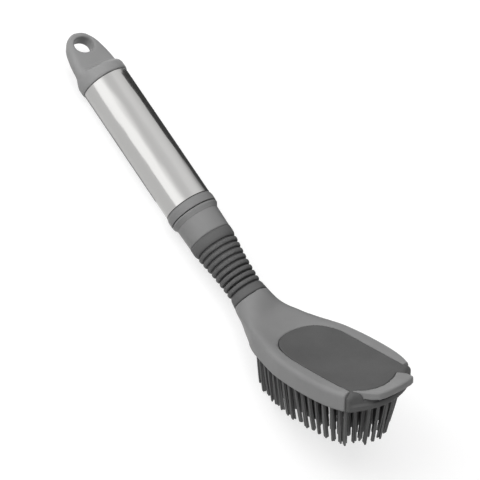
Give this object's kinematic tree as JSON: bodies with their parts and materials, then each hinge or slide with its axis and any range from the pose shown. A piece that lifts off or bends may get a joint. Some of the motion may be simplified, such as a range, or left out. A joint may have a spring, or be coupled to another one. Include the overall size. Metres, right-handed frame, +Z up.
{
  "type": "dish brush",
  "caption": "Long-handled dish brush with a steel tube handle, ribbed rubber neck grip, tipped boat-shaped head with scraper lip, dense bristles and a hanging eye.",
  "frame": {"origin": "on the floor, below the middle of the bounding box", "axes": "+X along the nearly level handle towards the head, +Y to the left seen from behind the handle, +Z up"},
  "size_m": [0.2866, 0.0564, 0.0805],
  "materials": {
    "plastic": "satin light-grey moulded plastic",
    "steel": "smooth bright stainless steel",
    "rubber": "matt dark-grey soft-touch rubber",
    "bristle": "dark-grey nylon filament, slightly glossy"
  },
  "bodies": {
    "root": {"end_cap": "plastic", "handle_tube": "steel", "tube_collar": "plastic", "neck_grip": "rubber", "brush_body": "plastic", "head_inlay": "rubber", "tuft_row_01": "bristle", "tuft_row_02": "bristle", "tuft_row_03": "bristle", "tuft_row_04": "bristle", "tuft_row_05": "bristle", "tuft_row_06": "bristle", "tuft_row_07": "bristle", "tuft_row_08": "bristle", "tuft_row_09": "bristle", "tuft_row_10": "bristle", "tuft_row_11": "bristle", "tuft_row_12": "bristle", "tuft_row_13": "bristle", "tuft_row_14": "bristle", "tuft_row_15": "bristle", "tuft_row_16": "bristle", "tuft_row_17": "bristle"}
  },
  "joints": []
}
